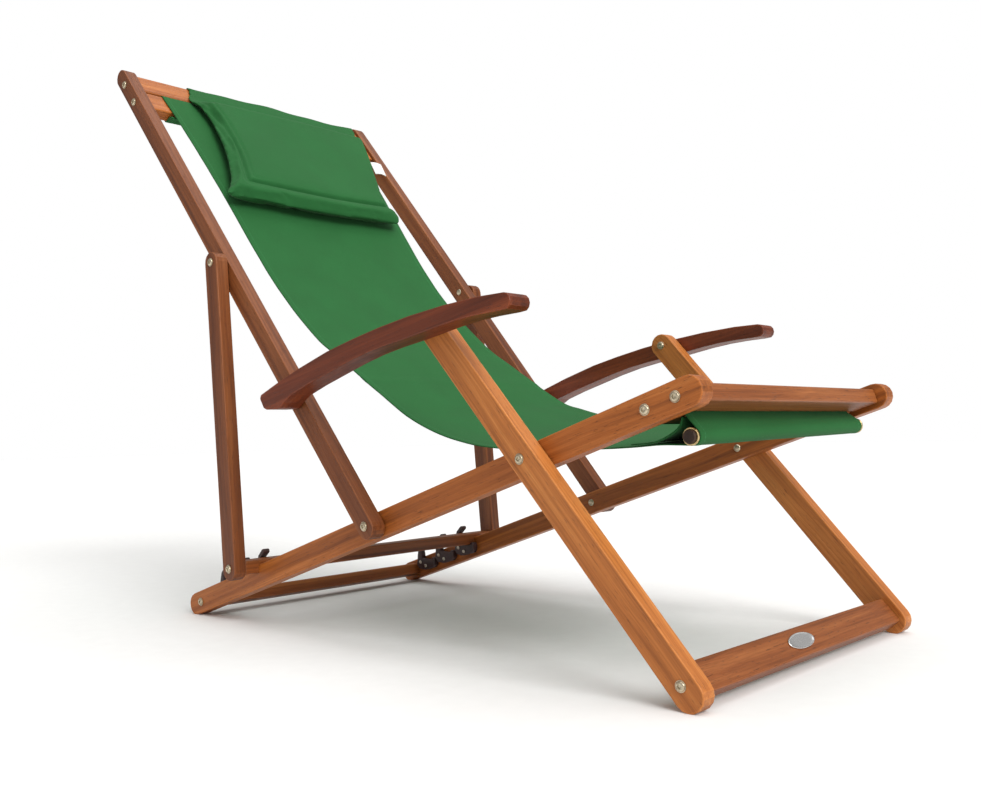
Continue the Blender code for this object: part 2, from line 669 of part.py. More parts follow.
def flap(parent):
    """Headrest's flap over the top bar and down behind it, whose weight holds the pad up."""
    top = UPPER_BAR_AT + TOP_BAR_WIDTH / 2 + FLAP_CLEAR
    clear = BAR_THICK / 2 + FLAP_CLEAR
    path = ((top - 0.0075, clear + 0.0002), (top - 0.0025, clear - 0.0005), (top, clear - 0.0045),
            (top, -clear + 0.0045), (top - 0.0025, -clear + 0.0005), (top - 0.0075, -clear),
            (0.9150, -clear - 0.0050), (FLAP_FOOT_AT, -clear - 0.0060))
    rows = [(*back_point(distance, offset), FLAP_HALF, 0.0) for distance, offset in path]
    hanging = cloth_solid("headrest_flap", rows, parent)
    hanging.location.y += FLAP_SHIFT


def build():
    pivots = {"back": axis_empty("back_axis", BACK_PIVOT),
              "leg": axis_empty("leg_axis", LEG_PIVOT),
              "prop": axis_empty("prop_axis", PROP_PIVOT),
              "armrest_left": axis_empty("armrest_left_axis", ARM_REAR_PIVOT),
              "armrest_right": axis_empty("armrest_right_axis", ARM_REAR_PIVOT)}
    for side in (1, -1):
        side_frame(side, pivots)
    crossbars(pivots)
    bar_screws(pivots)
    pivot_bolts(pivots)
    hooks()
    dowel_and_rings()
    badge(pivots["leg"])
    sling(pivots)
    headrest(pivots["back"])


build()
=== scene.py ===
"""Looks of the folding deck chair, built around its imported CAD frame.

Metres, in the frame of the CAD: +X forward, +Y the sitter's left, +Z up, floor at Z 0.
The wooden boards, hooks, dowel and rings are the CAD's own. The sling, its sleeve, the
headrest, the bolts and the badge are detailed pieces that stand for their CAD nodes.
"""
import json
import math

import bmesh
import bpy
import numpy as np
from mathutils import Matrix, Vector

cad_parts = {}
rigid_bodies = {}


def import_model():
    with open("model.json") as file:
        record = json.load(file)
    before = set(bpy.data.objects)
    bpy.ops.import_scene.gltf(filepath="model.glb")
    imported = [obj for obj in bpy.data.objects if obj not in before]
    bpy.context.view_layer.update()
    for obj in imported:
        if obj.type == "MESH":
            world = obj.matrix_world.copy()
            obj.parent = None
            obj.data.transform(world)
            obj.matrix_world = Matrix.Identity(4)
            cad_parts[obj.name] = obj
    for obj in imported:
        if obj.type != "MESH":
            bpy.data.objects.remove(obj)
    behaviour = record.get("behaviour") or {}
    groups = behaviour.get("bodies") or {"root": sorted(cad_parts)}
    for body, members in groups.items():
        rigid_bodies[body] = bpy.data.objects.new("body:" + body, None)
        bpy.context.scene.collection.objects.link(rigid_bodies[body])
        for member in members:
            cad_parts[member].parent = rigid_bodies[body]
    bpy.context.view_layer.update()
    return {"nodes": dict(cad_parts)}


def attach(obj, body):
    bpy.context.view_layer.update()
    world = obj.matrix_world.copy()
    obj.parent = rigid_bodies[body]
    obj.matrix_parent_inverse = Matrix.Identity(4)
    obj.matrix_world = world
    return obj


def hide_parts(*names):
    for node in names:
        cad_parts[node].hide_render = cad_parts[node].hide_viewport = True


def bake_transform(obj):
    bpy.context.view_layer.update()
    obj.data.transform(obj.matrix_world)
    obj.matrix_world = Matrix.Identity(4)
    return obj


for old in list(bpy.data.objects):
    bpy.data.objects.remove(old, do_unlink=True)
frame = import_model()

# ---------------------------------------------------------------- lines of the frame
RAIL_ANGLE = math.radians(18.24)
BACK_ANGLE = math.radians(129.87)
REAR_FOOT = (-0.3638, 0.0212)
BACK_PIVOT = (0.0652, 0.1630)
LEG_PIVOT = (0.3372, 0.2520)
ARM_FRONT_PIVOT = (0.1927, 0.4155)
ARM_REAR_PIVOT = (-0.0793, 0.3265)
PROP_PIVOT = (-0.2528, 0.5475)
PROP_BOLT = (-0.2158, 0.0890)
LEG_BOLT = (0.5440, 0.0261)
FRONT_BAR_AT = 0.9419                 # distances along the rail from its rear bolt
SECOND_BAR_AT = 0.9019
UPPER_BAR_AT = 0.9494                 # distances along the upright from the back pivot
LOWER_BAR_AT = 0.9017
BAR_THICK = 0.0200
BAR_WIDTH = 0.0370
TOP_BAR_WIDTH = 0.0440
RAIL_INNER = 0.2230                   # |y| of the layers' inner faces
UPRIGHT_INNER = 0.2465
OUTER_INNER = 0.2700
BOARD = 0.0220
PROP_THICK = 0.0200
EDGE_ROUND = 0.0025
TOUCH = 0.0003
HOOK_AT = (0.0480, 0.1000, 0.1545)
HOOK_FACE = 0.2117                    # |y| of the hooks' inner faces


def along(origin, angle, distance, offset=0.0):
    """Point at a distance along a line in the XZ plane, offset to its front side."""
    return (origin[0] + distance * math.cos(angle) + offset * math.sin(angle),
            origin[1] + distance * math.sin(angle) - offset * math.cos(angle))


def rail_point(distance, offset=0.0):
    return along(REAR_FOOT, RAIL_ANGLE, distance, -offset)


def back_point(distance, offset=0.0):
    return along(BACK_PIVOT, BACK_ANGLE, distance, offset)


def back_vector(distance, offset, y):
    x, z = back_point(distance, offset)
    return Vector((x, y, z))


def direction(start, end):
    return math.atan2(end[1] - start[1], end[0] - start[0])


def arc(centre, radius, start, end, steps):
    turns = [start + (end - start) * index / steps for index in range(steps + 1)]
    return [(centre[0] + radius * math.cos(t), centre[1] + radius * math.sin(t)) for t in turns]


def smooth_line(points, per_span):
    """Catmull-Rom curve through tuples of any length."""
    ends = [points[0]] + list(points) + [points[-1]]
    line = []
    for index in range(len(points) - 1):
        a, b, c, d = (Vector(ends[index + step]) for step in range(4))
        for step in range(per_span):
            t = step / per_span
            line.append(0.5 * (2 * b + (c - a) * t + (2 * a - 5 * b + 4 * c - d) * t * t
                               + (3 * b - a - 3 * c + d) * t * t * t))
    line.append(Vector(points[-1]))
    return [tuple(point) for point in line]


# ---------------------------------------------------------------- materials
class Look:
    """A Principled material with short calls that add and join its nodes."""

    def __init__(self, name, roughness=0.5, metallic=0.0, specular=0.5, **fixed):
        self.material = bpy.data.materials.new(name)
        self.material.use_nodes = True
        self.tree = self.material.node_tree
        self.shader = self.tree.nodes["Principled BSDF"]
        self.shader.inputs["Roughness"].default_value = roughness
        self.shader.inputs["Metallic"].default_value = metallic
        self.shader.inputs["Specular IOR Level"].default_value = specular
        for socket, value in fixed.items():
            self.shader.inputs[socket.replace("_", " ")].default_value = value

    def put(self, socket, value):
        if hasattr(value, "is_linked"):
            self.tree.links.new(value, socket)
        else:
            socket.default_value = value

    def node(self, kind, inputs, output=0, **settings):
        made = self.tree.nodes.new("ShaderNode" + kind)
        for key, value in settings.items():
            setattr(made, key, value)
        for key, value in inputs.items():
            self.put(made.inputs[key], value)
        return made.outputs[output]

    def coords(self, output="Object"):
        return self.tree.nodes.new("ShaderNodeTexCoord").outputs[output]

    def mapped(self, vector, rotation=(0, 0, 0), scale=(1, 1, 1), location=(0, 0, 0)):
        return self.node("Mapping", {"Vector": vector, "Rotation": rotation, "Scale": scale,
                                     "Location": location})

    def noise(self, vector, scale=1.0, detail=2.0, roughness=0.5, distortion=0.0):
        return self.node("TexNoise", {"Vector": vector, "Scale": scale, "Detail": detail,
                                      "Roughness": roughness, "Distortion": distortion})

    def wave(self, vector, scale, distortion=0.0, direction="X"):
        return self.node("TexWave", {"Vector": vector, "Scale": scale, "Distortion": distortion,
                                     "Detail": 2.0}, output="Fac", bands_direction=direction)

    def maths(self, operation, a, b=0.0):
        return self.node("Math", {0: a, 1: b}, operation=operation)

    def range(self, value, low, high, to_low=0.0, to_high=1.0):
        return self.node("MapRange", {"Value": value, "From Min": low, "From Max": high,
                                      "To Min": to_low, "To Max": to_high})

    def ramp(self, value, *stops):
        made = self.tree.nodes.new("ShaderNodeValToRGB")
        elements = made.color_ramp.elements
        while len(elements) < len(stops):
            elements.new(0.5)
        for element, (position, colour) in zip(elements, stops):
            element.position = position
            element.color = (*colour, 1.0)
        self.put(made.inputs[0], value)
        return made.outputs[0]

    def mix(self, share, a, b, blend="MIX"):
        colours = [(*c, 1.0) if isinstance(c, tuple) else c for c in (a, b)]
        return self.node("Mix", {0: share, 6: colours[0], 7: colours[1]}, output=2,
                         data_type="RGBA", blend_type=blend)

    def finish(self, colour, roughness=None, height=None, distance=0.0005, strength=1.0):
        self.put(self.shader.inputs["Base Color"], colour)
        if roughness is not None:
            self.put(self.shader.inputs["Roughness"], roughness)
        if height is not None:
            normal = self.node("Bump", {"Height": height, "Distance": distance,
                                        "Strength": strength})
            self.put(self.shader.inputs["Normal"], normal)
        return self.material


def wood(name, tones, angle=None, seed=0.0, rough=0.46):
    """Oiled hardwood. The grain runs along a direction in the XZ plane, or along Y."""
    dark, middle, light = tones
    look = Look(name, specular=0.30, Coat_Weight=0.05, Coat_Roughness=0.35)
    turn = (0, 0, -math.pi / 2) if angle is None else (0, angle, 0)
    board = look.mapped(look.coords(), rotation=turn, location=(seed * 3.1, seed * 0.7, seed * 1.3))
    warp = look.noise(look.mapped(board, scale=(2.0, 9.0, 9.0)), detail=2.0)
    bent = look.node("VectorMath", {0: board, 1: look.node("CombineXYZ", {
        "X": 0.0, "Y": look.range(warp, 0.0, 1.0, -0.010, 0.010),
        "Z": look.range(warp, 0.0, 1.0, 0.012, -0.012)})}, operation="ADD")
    streak = look.noise(look.mapped(bent, scale=(1.1, 46.0, 46.0)), detail=4.0, roughness=0.62)
    rings = look.noise(look.mapped(bent, scale=(1.6, 150.0, 150.0)), detail=3.0, roughness=0.6)
    fibre = look.noise(look.mapped(bent, scale=(14.0, 620.0, 620.0)), detail=2.0, roughness=0.7)
    pores = look.noise(look.mapped(bent, scale=(70.0, 900.0, 900.0)), detail=1.0)
    blotch = look.noise(look.mapped(board, scale=(3.2, 10.0, 10.0)), detail=3.0)
    pore = look.range(pores, 0.66, 0.74)
    tone = look.maths("ADD", look.maths("MULTIPLY", streak, 0.62),
                      look.maths("MULTIPLY", rings, 0.38))
    colour = look.ramp(tone, (0.34, dark), (0.50, middle), (0.66, light))
    colour = look.mix(look.range(blotch, 0.35, 0.75, 0.0, 0.42), colour,
                      tuple(c * f for c, f in zip(middle, (0.72, 0.62, 0.56))))
    colour = look.mix(look.range(fibre, 0.35, 0.70, 0.0, 0.30), colour,
                      tuple(c * 0.55 for c in dark))
    colour = look.mix(look.maths("MULTIPLY", pore, 0.55), colour,
                      tuple(c * 0.35 for c in dark))
    axis = Vector((0, 1, 0)) if angle is None else Vector((math.cos(angle), 0, math.sin(angle)))
    facing = look.node("VectorMath", {0: look.coords("Normal"), 1: tuple(axis)},
                       output="Value", operation="DOT_PRODUCT")
    end = look.range(look.maths("ABSOLUTE", facing), 0.72, 0.98)
    rings_end = look.noise(look.mapped(board, scale=(60.0, 260.0, 60.0)), detail=3.0)
    colour = look.mix(look.maths("MULTIPLY", end, look.range(rings_end, 0.3, 0.7, 0.15, 0.6)),
                      colour, tuple(c * 0.62 for c in dark))
    # Rounded edges are painted lighter: a painted edge highlight, with a little wear.
    rounded = look.node("Bevel", {"Radius": 0.0022})
    flat = look.tree.nodes.new("ShaderNodeNewGeometry").outputs["Normal"]
    edge = look.range(look.node("VectorMath", {0: rounded, 1: flat}, output="Value",
                                operation="DOT_PRODUCT"), 0.995, 0.93)
    colour = look.mix(look.maths("MULTIPLY", edge, 0.30), colour,
                      tuple(min(1.0, c * 1.35) for c in light))
    roughness = look.range(look.maths("ADD", look.maths("MULTIPLY", fibre, 0.5),
                                      look.maths("MULTIPLY", blotch, 0.5)),
                           0.3, 0.7, rough - 0.09, rough + 0.12)
    height = look.maths("SUBTRACT", look.maths("ADD", look.maths("MULTIPLY", rings, 0.5),
                                               look.maths("MULTIPLY", fibre, 0.5)), pore)
    return look.finish(colour, roughness, height, distance=0.00022)


def cloth(name, plane=None, hem=False, shade=1.0):
    """Close canvas weave. Its threads follow the sheet's own UVs, or a sloped plane."""
    look = Look(name, roughness=0.80, specular=0.14, Sheen_Weight=0.04, Sheen_Roughness=0.45)
    if plane is None:
        threads = look.node("UVMap", {}, uv_map="threads")
    else:
        threads = look.mapped(look.coords(), rotation=(0, plane, 0))
    warp = look.wave(threads, 300.0, 0.6, "X")
    weft = look.wave(threads, 280.0, 0.6, "Y")
    weave = look.maths("MULTIPLY", warp, weft)
    slub = look.noise(look.mapped(threads, scale=(900.0, 60.0, 60.0)), detail=2.0)
    slub_two = look.noise(look.mapped(threads, scale=(60.0, 900.0, 60.0)), detail=2.0)
    cloud = look.noise(threads, scale=14.0, detail=3.0, roughness=0.6)
    base = (0.017 * shade, 0.112 * shade, 0.027 * shade)
    lighter = (0.023 * shade, 0.134 * shade, 0.036 * shade)
    darker = (0.010 * shade, 0.076 * shade, 0.019 * shade)
    colour = look.mix(look.range(cloud, 0.30, 0.72), base, lighter)
    colour = look.mix(look.range(weave, 0.0, 0.9, 0.30, 0.0), colour, darker)
    colour = look.mix(look.range(slub, 0.52, 0.80, 0.0, 0.30), colour, darker)
    colour = look.mix(look.range(slub_two, 0.54, 0.80, 0.0, 0.25), colour, lighter)
    height = look.maths("ADD", look.maths("MULTIPLY", weave, 0.6),
                        look.maths("MULTIPLY", look.maths("ADD", slub, slub_two), 0.30))
    if hem:
        place = look.node("SeparateXYZ", {0: look.node("UVMap", {}, uv_map="edges")})
        lengthwise = look.tree.nodes[-1].outputs[1]
        line = look.range(look.maths("ABSOLUTE", look.maths("SUBTRACT", place, 0.0095)),
                          0.0008, 0.0004)
        dash = look.range(look.maths("FRACT", look.maths("MULTIPLY", lengthwise, 250.0)),
                          0.70, 0.62)
        stitch = look.maths("MULTIPLY", line, dash)
        # Painted shade: the recess along the hem's stitch line is darkened.
        groove_shade = look.range(look.maths("ABSOLUTE", look.maths("SUBTRACT", place, 0.0095)),
                            0.0022, 0.0)
        # Painted shade: the outermost 1.8 mm of cloth, where it turns round its edge, is darkened.
        edge_fold_shade = look.range(place, 0.0018, 0.0)
        colour = look.mix(look.maths("MULTIPLY", groove_shade, 0.22), colour, darker)
        colour = look.mix(look.maths("MULTIPLY", stitch, 0.5), colour, (0.05, 0.26, 0.09))
        colour = look.mix(look.maths("MULTIPLY", edge_fold_shade, 0.45), colour,
                          (0.010, 0.070, 0.020))
        height = look.maths("ADD", height, look.maths("MULTIPLY", stitch, 0.9))
    roughness = look.range(cloud, 0.3, 0.7, 0.74, 0.88)
    return look.finish(colour, roughness, height, distance=0.00018, strength=0.6)


def metal(name, colour, dull, roughness, scratch=0.5, distance=0.00004):
    look = Look(name, metallic=1.0, roughness=roughness)
    coords = look.coords()
    smudge = look.noise(coords, scale=180.0, detail=4.0, roughness=0.65)
    fine = look.noise(look.mapped(coords, scale=(1400.0, 1400.0, 160.0)), detail=2.0)
    mixed = look.mix(look.range(smudge, 0.42, 0.72, 0.0, 0.75), colour, dull)
    mixed = look.mix(look.range(fine, 0.58, 0.75, 0.0, scratch * 0.5), mixed, dull)
    rough = look.range(smudge, 0.3, 0.7, roughness - 0.08, roughness + 0.14)
    return look.finish(mixed, rough, fine, distance=distance, strength=scratch)


def coated(name):
    """Dark brown coating over cast hooks, painted lighter along all their rounded edges."""
    look = Look(name, metallic=0.05, specular=0.45)
    coords = look.coords()
    grain = look.noise(coords, scale=900.0, detail=3.0, roughness=0.6)
    patch = look.noise(coords, scale=60.0, detail=3.0)
    colour = look.mix(look.range(patch, 0.35, 0.75), (0.030, 0.013, 0.013),
                      (0.062, 0.028, 0.026))
    # Every rounded edge is painted a lighter brown, not only where the bar sits.
    rounded = look.node("Bevel", {"Radius": 0.0012})
    flat = look.tree.nodes.new("ShaderNodeNewGeometry").outputs["Normal"]
    edge = look.range(look.node("VectorMath", {0: rounded, 1: flat}, output="Value",
                                operation="DOT_PRODUCT"), 0.99, 0.90)
    colour = look.mix(look.maths("MULTIPLY", edge, 0.45), colour, (0.15, 0.08, 0.07))
    rough = look.range(patch, 0.3, 0.7, 0.38, 0.56)
    return look.finish(colour, rough, grain, distance=0.00010, strength=0.7)


RED_BROWN = ((0.100, 0.025, 0.005), (0.260, 0.074, 0.016), (0.400, 0.135, 0.036))
WARM = ((0.170, 0.044, 0.006), (0.410, 0.116, 0.018), (0.600, 0.205, 0.046))
GOLDEN = ((0.230, 0.066, 0.012), (0.520, 0.172, 0.036), (0.720, 0.290, 0.075))
DEEP = ((0.070, 0.012, 0.003), (0.165, 0.031, 0.008), (0.265, 0.058, 0.016))
AGED = ((0.075, 0.018, 0.004), (0.200, 0.056, 0.013), (0.310, 0.102, 0.028))
STAIN = ((0.020, 0.010, 0.006), (0.040, 0.020, 0.012), (0.070, 0.036, 0.020))


def dress(node, material):
    mesh = frame["nodes"][node].data
    mesh.materials.clear()
    mesh.materials.append(material)
    mesh.shade_smooth()


def dress_boards():
    """Give every wooden CAD node its own board of wood, with the grain along it."""
    leg_angle = direction(LEG_BOLT, ARM_FRONT_PIVOT)
    prop_angle = direction(PROP_PIVOT, PROP_BOLT)
    boards = (("seat_rail", WARM, RAIL_ANGLE), ("back_upright", AGED, BACK_ANGLE),
              ("leg", GOLDEN, leg_angle), ("prop", AGED, prop_angle),
              ("armrest", DEEP, math.radians(12.0)))
    seed = 1.0
    for name, tones, angle in boards:
        for side in ("_left", "_right"):
            seed += 1.37
            dress(name + side, wood("wood_" + name + side, tones, angle, seed))
    for name, tones in (("front_crossbar", RED_BROWN), ("second_crossbar", RED_BROWN),
                        ("rear_foot_crossbar", RED_BROWN), ("upper_top_crossbar", WARM),
                        ("lower_top_crossbar", WARM), ("leg_crossbar", RED_BROWN),
                        ("prop_crossbar", RED_BROWN)):
        seed += 1.37
        dress(name, wood("wood_" + name, tones, None, seed))
    dress("front_dowel", wood("wood_dowel", STAIN, None, 40.0, 0.55))


def dress_fittings():
    brass = metal("brass", (0.66, 0.50, 0.24), (0.34, 0.24, 0.11), 0.30)
    iron = coated("hook_coating")
    for side in ("_left", "_right"):
        dress("dowel_ring" + side, brass)
        for number in (1, 2, 3):
            dress("prop_hook_%d%s" % (number, side), iron)


# ---------------------------------------------------------------- mesh helpers
def new_object(name, mesh, material):
    mesh.materials.append(material)
    made = bpy.data.objects.new(name, mesh)
    bpy.context.scene.collection.objects.link(made)
    return made


def mesh_from(work, name, matrix=None):
    if matrix is not None:
        bmesh.ops.transform(work, verts=work.verts, matrix=matrix)
    bmesh.ops.recalc_face_normals(work, faces=work.faces)
    mesh = bpy.data.meshes.new(name)
    work.to_mesh(mesh)
    work.free()
    mesh.shade_smooth()
    return mesh


def side_name(name, side):
    return name + ("_left" if side > 0 else "_right")


# ---------------------------------------------------------------- bolts and screws
RING = 48


def lathe(work, profile, twist=0.0):
    """Closed solid of rings about Z. Profile: (radius or a function of angle), height."""
    rings = []
    for radius, height in profile:
        ring = []
        for step in range(RING):
            angle = 2 * math.pi * step / RING + twist
            r = radius(angle) if callable(radius) else radius
            ring.append(work.verts.new((r * math.cos(angle), r * math.sin(angle), height)))
        rings.append(ring)
    for low, high in zip(rings, rings[1:]):
        for step in range(RING):
            following = (step + 1) % RING
            work.faces.new((low[step], low[following], high[following], high[step]))
    work.faces.new(rings[0])
    work.faces.new(rings[-1])


def hexagon(size):
    def radius(angle):
        part = angle % (math.pi / 3) - math.pi / 6
        return size * math.cos(math.pi / 6) / math.cos(part)
    return radius


def cross(size):
    def radius(angle):
        return size * (0.62 + 0.38 * math.cos(4 * angle))
    return radius


SCREW_LENGTH = 0.0390
PROP_SCREW_LENGTH = 0.0370
ARM_BOLT_LENGTH = 0.0435
SHARP = math.radians(38.0)
TURN_STEP = 0.7                       # each bolt's socket is turned on from the last one's


def bolt_profile(length, nut):
    """From the shank's far end, over washer and domed head, to the floor of its socket."""
    end = [(0.0014, -length)] if not nut else [
        (0.0008, -length - 0.0026), (0.0026, -length - 0.0024), (0.0042, -length - 0.0017),
        (0.0050, -length - 0.0011), (0.0055, -length - 0.0005), (0.0055, -length)]
    head = [(0.0025, -length + 0.0012), (0.0025, 0.0003), (0.0062, 0.0003), (0.0064, 0.0005),
            (0.0064, 0.0007), (0.0062, 0.0009), (0.0054, 0.0009), (0.0055, 0.0012),
            (0.0055, 0.0015), (0.0052, 0.0020), (0.0046, 0.0025), (0.0038, 0.0029),
            (0.0031, 0.0030), (hexagon(0.0026), 0.0029), (hexagon(0.0025), 0.0027),
            (hexagon(0.0024), 0.0014), (0.0006, 0.0010)]
    return end + head


def bolt(name, point, y, outward, length, body, material, nut=False, turn=0.0):
    work = bmesh.new()
    lathe(work, bolt_profile(length, nut), turn)
    place = (Matrix.Translation((point[0], y, point[1]))
             @ Matrix.Rotation(-outward * math.pi / 2, 4, "X"))
    mesh = mesh_from(work, name, place)
    mesh.set_sharp_from_angle(angle=SHARP)
    made = new_object(name + "_detail", mesh, material)
    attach(made, body)
    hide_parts(name)


def bolts():
    steel = metal("bolt_steel", (0.60, 0.52, 0.38), (0.24, 0.19, 0.12), 0.30)
    rail, upright, prop = RAIL_INNER + BOARD, UPRIGHT_INNER + BOARD, OUTER_INNER + PROP_THICK
    plain = (("rear_foot_screw", REAR_FOOT, rail, SCREW_LENGTH, "seat_frame"),
             ("front_bar_screw", rail_point(FRONT_BAR_AT), rail, SCREW_LENGTH, "seat_frame"),
             ("second_bar_screw", rail_point(SECOND_BAR_AT), rail, SCREW_LENGTH, "seat_frame"),
             ("upper_top_screw", back_point(UPPER_BAR_AT), upright, SCREW_LENGTH, "back_frame"),
             ("lower_top_screw", back_point(LOWER_BAR_AT), upright, SCREW_LENGTH, "back_frame"),
             ("leg_bar_screw", LEG_BOLT, upright, SCREW_LENGTH, "leg_frame"),
             ("prop_bar_screw", PROP_BOLT, prop, PROP_SCREW_LENGTH, "prop_frame"))
    nutted = (("back_pivot_bolt", BACK_PIVOT, upright, RAIL_INNER, "seat_frame"),
              ("leg_pivot_bolt", LEG_PIVOT, upright, RAIL_INNER, "seat_frame"),
              ("prop_pivot_bolt", PROP_PIVOT, prop, UPRIGHT_INNER, "back_frame"))
    inward = (("arm_rear_bolt", ARM_REAR_PIVOT, "back_frame"),
              ("arm_front_bolt", ARM_FRONT_PIVOT, "leg_frame"))
    turn = 0.2
    for side in (1, -1):
        for name, point, outer, length, body in plain:
            turn += TURN_STEP
            bolt(side_name(name, side), point, side * outer, side, length, body, steel,
                 turn=turn)
        for name, point, outer, inner, body in nutted:
            turn += TURN_STEP
            bolt(side_name(name, side), point, side * outer, side, outer - inner + TOUCH,
                 body, steel, True, turn)
        for name, point, body in inward:
            turn += TURN_STEP
            bolt(side_name(name, side), point, side * UPRIGHT_INNER, -side, ARM_BOLT_LENGTH,
                 body, steel, turn=turn)


HOOK_SCREWS = ((-0.0165, -0.0065), (-0.0030, -0.0125))   # from the hook's seat, in x and z


def hook_screws():
    """Two small cross-head screws in each hook's inner face."""
    steel = metal("screw_steel", (0.58, 0.52, 0.44), (0.26, 0.21, 0.16), 0.32)
    profile = [(0.0012, -0.0060), (0.0012, 0.0002), (0.0031, 0.0002), (0.0032, 0.0006),
               (0.0029, 0.0012), (0.0023, 0.0016), (cross(0.0019), 0.0016),
               (cross(0.0016), 0.0007), (0.0003, 0.0006)]
    seat_top = PROP_BOLT[1] - BAR_THICK / 2 - 0.0006
    for number, distance in enumerate(HOOK_AT, start=1):
        seat = seat_top + rail_point(distance)[1] - rail_point(HOOK_AT[2])[1]
        x = rail_point(distance)[0]
        for side in (1, -1):
            work = bmesh.new()
            for dx, dz in HOOK_SCREWS:
                part = bmesh.new()
                lathe(part, profile, 0.6 + dx * 40)
                place = (Matrix.Translation((x + dx, side * HOOK_FACE, seat + dz))
                         @ Matrix.Rotation(side * math.pi / 2, 4, "X"))
                bmesh.ops.transform(part, verts=part.verts, matrix=place)
                mesh = bpy.data.meshes.new("screw")
                part.to_mesh(mesh)
                part.free()
                work.from_mesh(mesh)
            name = side_name("hook_screws_%d" % number, side)
            mesh = mesh_from(work, name)
            mesh.set_sharp_from_angle(angle=SHARP)
            made = new_object(name, mesh, steel)
            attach(made, "seat_frame")


BADGE_Y = -0.0220
BADGE_HALF_HEIGHT, BADGE_HALF_WIDTH = 0.0100, 0.0300


def badge():
    """Blank oval plate with a raised rim on the leg crossbar."""
    plate = metal("badge_metal", (0.84, 0.84, 0.84), (0.55, 0.55, 0.56), 0.26, 0.8)
    angle = direction(LEG_BOLT, ARM_FRONT_PIVOT)
    work = bmesh.new()
    lathe(work, [(0.97, 0.0), (1.0, 0.0002), (1.0, 0.0011), (0.98, 0.0015), (0.93, 0.0016),
                 (0.90, 0.0013), (0.88, 0.0010), (0.60, 0.0012), (0.30, 0.0013), (0.02, 0.0013)])
    centre = along(LEG_BOLT, angle, 0.0, BAR_THICK / 2 + TOUCH)
    place = (Matrix.Translation((centre[0], BADGE_Y, centre[1]))
             @ Matrix.Rotation(-angle, 4, "Y") @ Matrix.Rotation(math.pi, 4, "X")
             @ Matrix.Diagonal((BADGE_HALF_HEIGHT, BADGE_HALF_WIDTH, 1.0, 1.0)))
    made = new_object("badge_oval", mesh_from(work, "badge_oval", place), plate)
    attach(made, "leg_frame")
    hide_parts("badge_plate")


# ---------------------------------------------------------------- sling
CLOTH = 0.0020                        # room the cloth takes up round the bars
SHEET = 0.0018                        # thickness of the cloth itself, at its hems
HEM = 0.0105
SHEET_STEP = 0.0085
CORNER = EDGE_ROUND + CLOTH / 2 + 0.0005
DOWEL = (0.5252, 0.2780)
DOWEL_R = 0.0080
DOWEL_HALF = 0.2120
DOWEL_RISE = 0.0038
# Lines of the cloth from the side: x, z, and how far its edges stand above its middle line.
SLEEVE_LINE = ((0.5120, 0.2962, 0.0010), (0.5106, 0.2905, 0.0020), (0.5060, 0.2855, 0.0030),
               (0.4970, 0.2818, 0.0050), (0.4840, 0.2784, 0.0076), (0.4700, 0.2766, 0.0091),
               (0.4460, 0.2763, 0.0105))
SLING_TOP_HALF = 0.2130
SLING_MID_HALF = 0.1890
SLING_FRONT_HALF = 0.2040
SEAT_LINE = ((0.0272, 0.3320, 0.0020), (0.0772, 0.3090, 0.0080), (0.1372, 0.2910, 0.0125),
             (0.1972, 0.2825, 0.0165), (0.2572, 0.2785, 0.0170), (0.3372, 0.2755, 0.0145),
             (0.4172, 0.2735, 0.0115), (0.4772, 0.2742, 0.0088), (0.5080, 0.2702, 0.0045))
# Distance up the back, and offset in front of it.
BACK_LINE = ((0.9120, 0.0118), (0.8750, 0.0118), (0.8100, 0.0105), (0.7400, 0.0085),
             (0.6600, 0.0055), (0.5750, 0.0015), (0.5000, 0.0008), (0.4500, 0.0035),
             (0.3900, 0.0105), (0.3250, 0.0225), (0.2750, 0.0390))


NARROWED, WIDENING = 0.35, 0.80        # shares of the length between which it is narrowest
SEAM_AT = 0.815
SEAM_THICK, SEAM_HALF = 0.0005, 0.006


def half_width(part_of_length):
    """Half the sling's width, which narrows below its top and widens again to the dowel."""
    if part_of_length < NARROWED:
        blend = part_of_length / NARROWED
        return SLING_TOP_HALF + (SLING_MID_HALF - SLING_TOP_HALF) * math.sin(blend * math.pi / 2)
    blend = max(0.0, (part_of_length - WIDENING) / (1.0 - WIDENING))
    return SLING_MID_HALF + (SLING_FRONT_HALF - SLING_MID_HALF) * blend * blend


def main_rows():
    """Rows of the sling between the top bars and the dowel."""
    back = [(*back_point(distance, offset), 0.0) for distance, offset in BACK_LINE]
    line = smooth_line(back + list(SEAT_LINE), 7)
    lengths = [0.0]
    for first, second in zip(line, line[1:]):
        lengths.append(lengths[-1] + math.dist(first[:2], second[:2]))
    return [(x, z, half_width(length / lengths[-1]), drop)
            for (x, z, drop), length in zip(line, lengths)]


def corner(centre, start, end):
    return arc(centre, CORNER, start, end, 5)


def top_loop():
    low = LOWER_BAR_AT - TOP_BAR_WIDTH / 2
    slot = (LOWER_BAR_AT + UPPER_BAR_AT) / 2
    turn = BAR_THICK / 2 - EDGE_ROUND
    path = [(low - 0.0130, turn - 0.0005), (low - 0.0080, 0.0060), (low - 0.0045, 0.0040),
            (low - 0.0022, -0.0040)]
    path += corner((low + EDGE_ROUND, -turn), math.pi, 3 * math.pi / 2)
    path += corner((slot - CORNER, -turn), -math.pi / 2, 0.0)
    path += corner((slot - CORNER, turn), 0.0, math.pi / 2)
    return [(*back_point(distance, offset), SLING_TOP_HALF, 0.0) for distance, offset in path]


